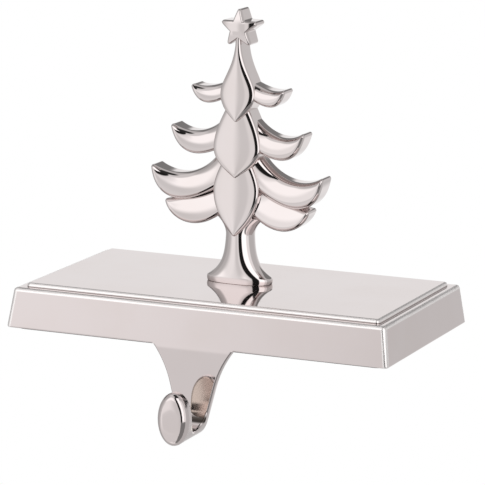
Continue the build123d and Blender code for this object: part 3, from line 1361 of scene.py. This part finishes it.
    def add_star(self) -> None:
        """Adds the puffed star on top."""
        corners = self._star_corners()
        outline = self._star_outline(corners)
        middle = np.array([0.0, self.star_middle])
        closed = np.concatenate([outline, outline[:1]])
        edges = [np.stack([corners[step - 1], corner]) for step, corner in enumerate(corners)]
        top = self.front - self.star_crest + self.star_dome
        bend = 1.0 - np.cos(np.linspace(0.0, QUARTER_TURN, self.star_rings[0]))
        face = np.linspace(self.star_front_rim, self.star_hub, self.star_rings[1])[1:]
        front_shares = np.concatenate([self.star_front_rim * bend, face])[::-1]
        back_face = [self.star_back_face, self.star_hub]
        back_shares = np.concatenate([self.star_back_rim * bend[::2], back_face])
        rings = []
        for shares, is_front in ((front_shares, True), (back_shares, False)):
            for share in shares:
                ring = outline + share * (middle - outline)
                gap = distance(ring, closed) if share > 0 else np.zeros(len(ring))
                if is_front:
                    falls = [round_drop(distance(ring, edge), self.star_puff) for edge in edges]
                    reach = self.star_dome**2 - ((ring - middle) ** 2).sum(axis=1)
                    depths = top - np.sqrt(reach) + round_drop(gap, self.star_rim)
                    depths += np.linalg.norm(falls, axis=0)
                else:
                    depths = self.back - round_drop(gap, self.star_back_round)
                rings.append(np.stack([ring[:, 0], depths, ring[:, 1] + self.plinth_top], axis=1))
        self.shell.add_rings(np.stack(rings))

    def _spread(self, height: float) -> float:
        """Share of the foot's spread: a rounded rim below a flare that fades upwards.

        Args:
            height: Height above the plinth.

        Returns:
            The share.
        """
        level = np.clip((height - self.rim_middle) / self.rim_half, -1.0, 1.0)
        rim = 1.0 - self.rim_tuck * (1.0 - math.sqrt(1.0 - level**2))
        flare = math.exp((self.flare_start - height) / self.flare_height)
        soft = self.flare_blend
        share = np.clip(0.5 + 0.5 * (flare - rim) / soft, 0.0, 1.0)
        return float(flare + share * (rim - flare) - soft * share * (1.0 - share))

    def _trunk_section(self, height: float, around: np.ndarray) -> np.ndarray:
        """Section of the trunk at a height: round above, drawn out to a blunt oval at the foot.

        Args:
            height: Height above the plinth.
            around: Points of a circle of radius one.

        Returns:
            Points across and in depth.
        """
        spread = self._spread(height)
        crown = (max(height - self.crown_start, 0.0) / (self.crown_top - self.crown_start)) ** 2
        length = self.trunk_length + (self.foot_length - self.trunk_length) * spread
        length += (self.crown_length - self.trunk_length) * crown
        width = self.trunk_width + (self.foot_width - self.trunk_width) * spread
        width += (self.crown_width - self.trunk_width) * crown
        power = 2.0 / (2.0 + (self.foot_square - 2.0) * spread)
        oval = np.sign(around) * np.abs(around) ** power
        return oval * (length / 2, width / 2) + (0.0, self.trunk_set_back)

    def add_trunk(self) -> None:
        """Adds the oval foot, its screw hole, the trunk and the crown under the lowest branches."""
        around = circle(self.trunk_steps)
        foot = np.linspace(0.0, self.foot_height, self.trunk_rings[0])
        trunk = np.linspace(self.foot_height, self.crown_top, self.trunk_rings[1])
        heights = np.concatenate([foot, trunk[1:]])
        hole = self.hole_radius * around
        rings = [level_ring(hole, self.hole_depth), level_ring(hole, 0.0)]
        rings += [level_ring(self._trunk_section(height, around), height) for height in heights]
        skin = np.stack(rings)
        skin[..., 2] += self.plinth_top
        self.shell.add_rings(skin)

    def build(self) -> bpy.types.Object:
        """Builds and dresses the tree.

        Returns:
            The tree's object.
        """
        self.add_trunk()
        self.add_branches()
        self.add_web()
        self.add_leaves()
        self.add_star()
        tree = self.shell.build("plated_tree_casting")
        dress(tree, PolishedNickel("polished_nickel_tree").build())
        weigh_normals(tree)
        return settle(tree, Part.TREE)


@dataclass
class BaseCasting:
    """Hollow cast base with its hook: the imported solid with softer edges, in millimetres."""

    smooth_angle: float = math.radians(40.0)
    corner: float = 1.6
    block_half: tuple[float, float] = (74.0, 41.0)
    block_top: float = 15.4
    block_round: float = 1.0
    block_soft: float = 1.5
    draft: float = BASE_DRAFT
    ledge_rise: float = 0.5
    plinth_half: tuple[float, float] = (70.4, 37.4)
    plinth_top: float = PLINTH_TOP
    plinth_round: float = 0.7
    plinth_soft: float = 1.8
    lip_front: float = -61.8
    lip_round: float = 2.2
    lip_middle: float = -22.3
    lip_half: tuple[float, float] = (6.2, 9.9)
    lip_fall: float = 0.9
    lip_rings: int = 6
    slack: float = 0.02
    weld: float = 1e-7
    tint: Rgb = (0.715, 0.648, 0.642)

    def _inset(self, place: Vector, half: tuple[float, float]) -> tuple[float, Vector]:
        """How far a place lies inside a rounded rectangle.

        Args:
            place: Place in millimetres.
            half: Half sizes of the rectangle.

        Returns:
            The distance to the outline, and the direction further in.
        """
        over = [abs(place[axis]) - half[axis] + self.corner for axis in (0, 1)]
        ways = [math.copysign(1.0, place[axis]) for axis in (0, 1)]
        if min(over) > 0:
            away = math.hypot(*over)
            return self.corner - away, Vector((-ways[0] * over[0], -ways[1] * over[1], 0.0)) / away
        if over[0] > over[1]:
            return self.corner - over[0], Vector((-ways[0], 0.0, 0.0))
        return self.corner - over[1], Vector((0.0, -ways[1], 0.0))

    def _softened(self, place: Vector) -> Vector:
        """Moves a point of the solid to the low step and the softer edges of the polished casting.

        Args:
            place: Place in millimetres.

        Returns:
            The new place.
        """
        below = self.block_top - place.z
        inset, further = self._inset(place, self.block_half)
        if -self.slack < below < self.block_round and inset < self.block_round + self.slack:
            widen = self.block_soft - 1.0
            lift = Vector((0.0, 0.0, self.ledge_rise - below * widen))
            return place + further * (inset * widen + self.ledge_rise * self.draft) + lift
        if abs(below) < self.slack:
            return place + Vector((0.0, 0.0, self.ledge_rise))
        below = self.plinth_top - place.z
        inset, further = self._inset(place, self.plinth_half)
        reach = self.plinth_round + self.slack
        if -self.slack < below < reach and inset < reach:
            widen = self.plinth_soft - 1.0
            return place + further * (inset * widen) - Vector((0.0, 0.0, below * widen))
        return place

    def _dome_lip(self, work: bmesh.types.BMesh) -> None:
        """Gives the lip's flat front rings of faces and domes it.

        Args:
            work: Mesh of the base in metres, with joined points.
        """
        level = (self.lip_front + self.slack / 4) * MM
        cap = [face for face in work.faces if max(vertex.co.y for vertex in face.verts) < level]
        rim = {vertex for face in cap for vertex in face.verts}
        bmesh.ops.delete(work, geom=cap, context="FACES_ONLY")
        middle = Vector((0.0, self.lip_front * MM, self.lip_middle * MM))
        outer = sorted(rim, key=lambda vertex: math.atan2(vertex.co.z - middle.z, vertex.co.x))
        edge = [vertex.co.copy() for vertex in outer]
        for ring in range(1, self.lip_rings):
            share = 1.0 - ring / self.lip_rings
            inner = [work.verts.new(middle.lerp(place, share)) for place in edge]
            for near, (a, b) in enumerate(zip(outer, inner)):
                following = (near + 1) % len(outer)
                work.faces.new((a, outer[following], inner[following], b))
            outer = inner
        crown = work.verts.new(middle)
        for near, a in enumerate(outer):
            work.faces.new((a, outer[(near + 1) % len(outer)], crown))
        for vertex in work.verts:
            if vertex.co.y < (self.lip_front + self.lip_round + self.slack) * MM:
                off = (vertex.co - middle) / MM
                share = min((off.x / self.lip_half[0]) ** 2 + (off.z / self.lip_half[1]) ** 2, 1.0)
                vertex.co.y += self.lip_fall * share * share * MM

    def build(self) -> bpy.types.Object:
        """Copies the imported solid, softens its edges and dresses it.

        Returns:
            The base's object.
        """
        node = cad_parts[Part.BASE.value[0]]
        work = bmesh.new()
        work.from_mesh(node.data)
        work.transform(node.matrix_world)
        bmesh.ops.remove_doubles(work, verts=work.verts, dist=self.weld)
        self._dome_lip(work)
        for vertex in work.verts:
            vertex.co = self._softened(vertex.co / MM) * MM
        for face in work.faces:
            face.smooth = True
        for edge in work.edges:
            edge.smooth = edge.calc_face_angle(0.0) < self.smooth_angle
        mesh = bpy.data.meshes.new("plated_base_casting")
        work.to_mesh(mesh)
        work.free()
        base = link("plated_base_casting", mesh)
        weigh_normals(base)
        dress(base, PolishedNickel("polished_nickel_base", self.tint, marked=True).build())
        return settle(base, Part.BASE)


@dataclass
class TreeScrew:
    """Pan-head machine screw that holds the tree from below, in millimetres."""

    seat: float = 6.0
    end: float = 25.4
    crest_radius: float = 1.97
    root_radius: float = 1.62
    neck: float = 0.15
    neck_height: float = 0.2
    point_height: float = 0.6
    point_cut: float = 0.45
    pitch: float = 0.7
    ridge_share: float = 0.3
    ridge_steps: int = 6
    turn_steps: int = 24
    head_radius: float = 4.0
    head_height: float = 2.6
    head_round: float = 1.6
    face_start: float = 0.35
    face_steps: int = 8
    round_steps: int = 10
    shank_start: float = 1.0
    shank_steps: int = 12
    around: int = 96
    drive_span: float = 4.4
    drive_width: float = 1.1
    drive_depth: float = 1.3
    drive_reach: float = 0.3

    def _thread(self, graph: Graph, source: bpy.types.Node) -> bpy.types.NodeSocket:
        """Adds the nodes that wind the thread's ridge round the shank.

        Args:
            graph: Graph to add to.
            source: Node with the tree's inputs.

        Returns:
            Socket with the thread's mesh.
        """
        size = source.outputs
        course = {
            "Resolution": self.turn_steps,
            "Rotations": size["Turns"],
            "Start Radius": size["Radius"],
            "End Radius": size["Radius"],
            "Height": size["Length"],
        }
        helix = graph.node("GeometryNodeCurveSpiral", None, course)
        section = {"Resolution": self.ridge_steps, "Radius": size["Ridge"]}
        ridge = graph.node("GeometryNodeCurvePrimitiveCircle", {"mode": "RADIUS"}, section)
        sweep = {"Curve": helix, "Profile Curve": ridge, "Fill Caps": True}
        return graph.node("GeometryNodeCurveToMesh", None, sweep).outputs["Mesh"]

    def _turned(self) -> bpy.types.Object:
        """Turns the pan head and the shank, and presses the cross recess into the head.

        Returns:
            Object with the turned mesh.
        """
        face, flat = self.seat - self.head_height, self.head_radius - self.head_round
        profile = [(0.0, face)]
        profile += [(reach, face) for reach in np.linspace(self.face_start, flat, self.face_steps)]
        for turn in np.linspace(0.0, QUARTER_TURN, self.round_steps)[1:]:
            level = face + self.head_round * (1 - math.cos(turn))
            profile.append((flat + self.head_round * math.sin(turn), level))
        profile += [(self.head_radius, self.seat), (self.root_radius + self.neck, self.seat)]
        profile.append((self.root_radius, self.seat + self.neck_height))
        low, high = self.seat + self.shank_start, self.end - self.point_height
        shank = np.linspace(low, high, self.shank_steps)
        profile += [(self.root_radius, level) for level in shank]
        profile += [(self.root_radius - self.point_cut, self.end), (0.0, self.end)]
        round_section = circle(self.around)
        rings = np.stack([level_ring(reach * round_section, level) for reach, level in profile])
        rings[..., 2] += self._recess(rings)
        shell = Shell()
        shell.add_rings(rings, start_cap=False, end_cap=False)
        return shell.build("turned_screw")

    def _recess(self, rings: np.ndarray) -> np.ndarray:
        """Depth of the cross recess at points of the head's face.

        Args:
            rings: Points of the turned screw.

        Returns:
            How far each point is pressed in.
        """
        flanks = np.abs(rings[..., :2])
        inside = flanks.min(axis=-1) < self.drive_width / 2
        inside &= flanks.max(axis=-1) < self.drive_span / 2
        inside &= rings[..., 2] < self.seat - self.head_height + self.drive_reach
        return np.where(inside, self.drive_depth, 0.0)

    def build(self) -> bpy.types.Object:
        """Builds and dresses the screw.

        Returns:
            The screw's object.
        """
        length = self.end - self.seat - 2 * self.pitch
        ridge = self.ridge_share * self.pitch
        sizes = {
            "Turns": length / self.pitch,
            "Length": length * MM,
            "Radius": (self.crest_radius - ridge) * MM,
            "Ridge": ridge * MM,
        }
        start = Vector((0.0, 0.0, (self.seat + self.pitch) * MM))
        carrier = self._turned()
        carrier.data.transform(Matrix.Translation(-start))
        steel = ZincSteel("zinc_plated_steel").build()
        screw = grow(carrier, "cross_recess_screw", sizes, self._thread, steel, smooth=True)
        screw.data.transform(Matrix.Translation(start))
        return settle(screw, Part.SCREW)


@dataclass
class NonSlipPad:
    """Rubber sheet under the base with rows of small round studs, in millimetres."""

    length: float = 145.8
    depth: float = 79.8
    thickness: float = 1.0
    corner: float = 3.0
    corner_steps: int = 9
    edge_round: float = 0.12
    margin: float = 6.0
    stud_pitch: float = 4.2
    stud_radius: float = 1.25
    stud_taper: float = 0.8
    stud_height: float = 0.22
    stud_sink: float = 1.2
    stud_steps: int = 14

    def _sheet(self) -> bpy.types.Object:
        """Makes the sheet with rounded corners and edges.

        Returns:
            Object with the sheet's mesh.
        """
        low, high, edge = self.stud_height, self.thickness, self.edge_round
        half = np.array([self.length / 2 - self.corner, self.depth / 2 - self.corner])
        turns = np.linspace(0.0, QUARTER_TURN, self.corner_steps)
        rings = []
        for inset, level in ((edge, low), (0.0, low + edge), (0.0, high - edge), (edge, high)):
            section = []
            for quarter, way in enumerate(((1, 1), (-1, 1), (-1, -1), (1, -1))):
                angle = quarter * QUARTER_TURN + turns
                round_corner = np.stack([np.cos(angle), np.sin(angle)], axis=1)
                section.append(way * half + (self.corner - inset) * round_corner)
            rings.append(level_ring(np.concatenate(section), level))
        shell = Shell()
        shell.add_rings(np.stack(rings))
        return shell.build("pad_sheet")

    def _studs(self, graph: Graph, source: bpy.types.Node) -> bpy.types.NodeSocket:
        """Adds the nodes that set rows of studs under the sheet.

        Args:
            graph: Graph to add to.
            source: Node with the tree's inputs.

        Returns:
            Socket with the studs.
        """
        size = source.outputs
        rows = {
            "Size X": size["Length"],
            "Size Y": size["Depth"],
            "Vertices X": size["Columns"],
            "Vertices Y": size["Rows"],
        }
        cone = {
            "Vertices": self.stud_steps,
            "Side Segments": 1,
            "Fill Segments": 1,
            "Radius Top": size["Stud Radius"],
            "Radius Bottom": self.stud_taper * self.stud_radius * MM,
            "Depth": size["Stud Height"],
        }
        grid = graph.node("GeometryNodeMeshGrid", None, rows)
        stud = graph.node("GeometryNodeMeshCone", {"fill_type": "NGON"}, cone).outputs["Mesh"]
        planted = {"Points": grid, "Instance": stud}
        return graph.node("GeometryNodeInstanceOnPoints", None, planted).outputs["Instances"]

    def build(self) -> bpy.types.Object:
        """Builds and dresses the pad.

        Returns:
            The pad's object.
        """
        columns = int((self.length - self.margin) / self.stud_pitch) + 1
        rows = int((self.depth - self.margin) / self.stud_pitch) + 1
        sizes = {
            "Length": (columns - 1) * self.stud_pitch * MM,
            "Depth": (rows - 1) * self.stud_pitch * MM,
            "Stud Radius": self.stud_radius * MM,
            "Stud Height": self.stud_sink * self.stud_height * MM,
            "Columns": columns,
            "Rows": rows,
        }
        rubber = FoamRubber("matt_black_rubber").build()
        sheet = self._sheet()
        pad = grow(sheet, "studded_rubber_pad", sizes, self._studs, rubber, smooth=False)
        return settle(pad, Part.PAD)


@dataclass(frozen=True)
class Zone:
    """One soft patch of the studio tent; angles are in degrees, round from the front and up.

    Attributes:
        start: Angle of its left edge, positive to the right of the front.
        end: Angle of its right edge.
        low: Angle of its lower edge above the level of the eye.
        high: Angle of its upper edge.
        shade: Brightness of the patch.
        soft: Width of its soft edges.
    """

    start: float
    end: float
    low: float
    high: float
    shade: float
    soft: float

    def weight(self, turn: np.ndarray, lift: np.ndarray) -> np.ndarray:
        """Share of the patch at directions from the object.

        Args:
            turn: Angles round from the front.
            lift: Angles above the level.

        Returns:
            Shares from 0 to 1.
        """
        middle = (self.start + self.end) / 2
        off = np.abs((turn - middle + 180.0) % 360.0 - 180.0)
        sides = (self.end - self.start) / 2 - off
        ends = np.minimum(lift - self.low, self.high - lift)
        share = np.ones_like(turn)
        for inside in (sides, ends):
            step = np.clip(inside / self.soft + 0.5, 0.0, 1.0)
            share = share * step * step * (3.0 - 2.0 * step)
        return share


@dataclass
class Studio:
    """Floor, surroundings, light tent, soft lamp and camera, in millimetres and degrees."""

    floor_level: float = -600.0
    floor_rings: tuple[float, ...] = (0.0, 300.0, 1200.0, 9000.0)
    floor_steps: int = 64
    tent_radius: float = 6000.0
    tent_steps: tuple[int, int] = (240, 121)
    tent_shade: float = 0.60
    zones: tuple[Zone, ...] = (
        Zone(-150.0, -86.0, -40.0, 40.0, 0.47, 24.0),
        Zone(-53.0, 20.0, -85.0, 58.0, 1.06, 30.0),
        Zone(-20.5, 8.0, -60.0, 75.0, 0.78, 13.0),
        Zone(-70.0, 3.0, -48.0, -18.0, 0.85, 8.0),
        Zone(-6.0, 3.0, -40.0, 60.0, 0.92, 4.0),
        Zone(-35.0, -13.0, -19.0, -11.3, 0.83, 3.0),
        Zone(-50.0, -6.0, 8.0, 48.0, 1.30, 13.0),
        Zone(-115.0, 4.0, 50.0, 91.0, 0.80, 14.0),
        Zone(26.5, 66.0, -14.0, 63.0, 1.5, 3.0),
        Zone(62.0, 86.0, -14.0, 45.0, 1.0, 10.0),
        Zone(165.0, 212.0, -24.0, 18.0, 0.94, 5.0),
        Zone(150.0, 240.0, 18.5, 52.0, 0.24, 5.0),
        Zone(146.0, 162.0, -24.0, 16.0, 0.69, 4.0),
        Zone(8.0, 78.0, -80.0, -14.5, 0.25, 4.0),
        Zone(2.5, 26.5, -15.0, 70.0, 0.015, 3.0),
        Zone(6.0, 112.0, 64.0, 91.0, 0.03, 6.0),
        Zone(-200.0, 200.0, 76.0, 100.0, 0.03, 8.0),
    )
    camera_place: tuple[float, float, float] = (477.953, -1145.412, 280.476)
    camera_right: tuple[float, float, float] = (0.92189892, 0.38709771, 0.01605423)
    camera_up: tuple[float, float, float] = (-0.09035843, 0.17453013, 0.98049711)
    camera_clip: Pair = (50.0, 50000.0)
    sensor_width: float = 36.0
    focal_share: float = 3377.0 / 485.0
    lamp_place: tuple[float, float, float] = (-900.0, -500.0, 1700.0)
    lamp_size: float = 1200.0
    lamp_power: float = 9.0
    surroundings_light: float = 0.7

    def _floor(self) -> None:
        """Lays the floor as a wide disc."""
        disc = circle(self.floor_steps)
        shell = Shell()
        shell.add_rings(
            np.stack([level_ring(reach * disc, self.floor_level) for reach in self.floor_rings]),
            start_cap=False,
            end_cap=False,
        )
        floor = shell.build("studio_floor")
        if floor.data.polygons[0].normal.z < 0:
            floor.data.flip_normals()
        dress(floor, PaleFloor("pale_floor").build())
        floor.visible_glossy = False

    def _tent(self) -> None:
        """Stands the light tent round the object: mirrored by the plating, unseen by the camera."""
        turns = np.linspace(-180.0, 180.0, self.tent_steps[0], endpoint=False)
        turn, lift = np.meshgrid(turns, np.linspace(-90.0, 90.0, self.tent_steps[1]))
        shade = np.full(turn.shape, self.tent_shade)
        for zone in self.zones:
            share = zone.weight(turn, lift)
            shade = shade * (1.0 - share) + zone.shade * share
        turn, lift = np.radians(turn), np.radians(lift)
        reach = np.cos(lift)
        skin = np.stack([reach * np.sin(turn), -reach * np.cos(turn), np.sin(lift)], axis=2)
        shell = Shell()
        shell.add_rings(self.tent_radius * skin, start_cap=False, end_cap=False)
        mesh = bpy.data.meshes.new("studio_tent")
        mesh.from_pydata((np.concatenate(shell.points) * MM).tolist(), [], shell.faces)
        cloth = mesh.attributes.new("tent_shade", "FLOAT", "POINT")
        cloth.data.foreach_set("value", shade.ravel())
        tent = link("studio_tent", mesh)
        dress(tent, TentCloth("tent_cloth", "tent_shade").build())
        tent.visible_camera = False
        tent.visible_shadow = False
        tent.visible_diffuse = False

    def _surroundings(self) -> None:
        """Sets the world: white to the camera and the plating, softer for the light itself."""
        world = bpy.data.worlds.new("white_surroundings")
        world.use_nodes = True
        bpy.context.scene.world = world
        graph = Graph(world.node_tree)
        soft, white = (
            graph.node("ShaderNodeBackground", None, {"Color": WHITE, "Strength": strength})
            for strength in (self.surroundings_light, 1.0)
        )
        both = graph.node("ShaderNodeMixShader", None, {0: graph.seen(), 1: soft, 2: white})
        graph.node("ShaderNodeOutputWorld", None, {"Surface": both})

    def _lamp(self) -> None:
        """Hangs a large soft lamp above and to the left of the object."""
        data = bpy.data.lights.new("soft_lamp", "AREA")
        data.shape = "DISK"
        data.size = self.lamp_size * MM
        data.energy = self.lamp_power
        lamp = link("soft_lamp", data)
        lamp.location = Vector(self.lamp_place) * MM
        lamp.rotation_mode = "QUATERNION"
        lamp.rotation_quaternion = (-lamp.location).to_track_quat("-Z", "Y")
        lamp.visible_glossy = False

    def _camera(self) -> None:
        """Sets the camera where the photograph was taken from."""
        data = bpy.data.cameras.new("photo_camera")
        data.sensor_width = self.sensor_width
        data.lens = self.focal_share * self.sensor_width
        data.clip_start, data.clip_end = (limit * MM for limit in self.camera_clip)
        camera = link("photo_camera", data)
        right, up = Vector(self.camera_right), Vector(self.camera_up)
        turn = Matrix((right, up, right.cross(up))).transposed()
        camera.matrix_world = Matrix.Translation(Vector(self.camera_place) * MM) @ turn.to_4x4()
        bpy.context.scene.camera = camera

    def build(self) -> None:
        """Sets up the whole studio."""
        self._surroundings()
        self._floor()
        self._tent()
        self._lamp()
        self._camera()
        bpy.context.scene.view_settings.view_transform = "Standard"


def main() -> None:
    """Builds the studio and every piece in order."""
    logging.basicConfig(level=logging.INFO, format="%(name)s: %(message)s")
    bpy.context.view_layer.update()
    Studio().build()
    for maker in (BaseCasting(), TreeCasting(), TreeScrew(), NonSlipPad()):
        piece = maker.build()
        log.info("%s: %d faces", piece.name, len(piece.data.polygons))


if __name__ == "__main__":
    main()
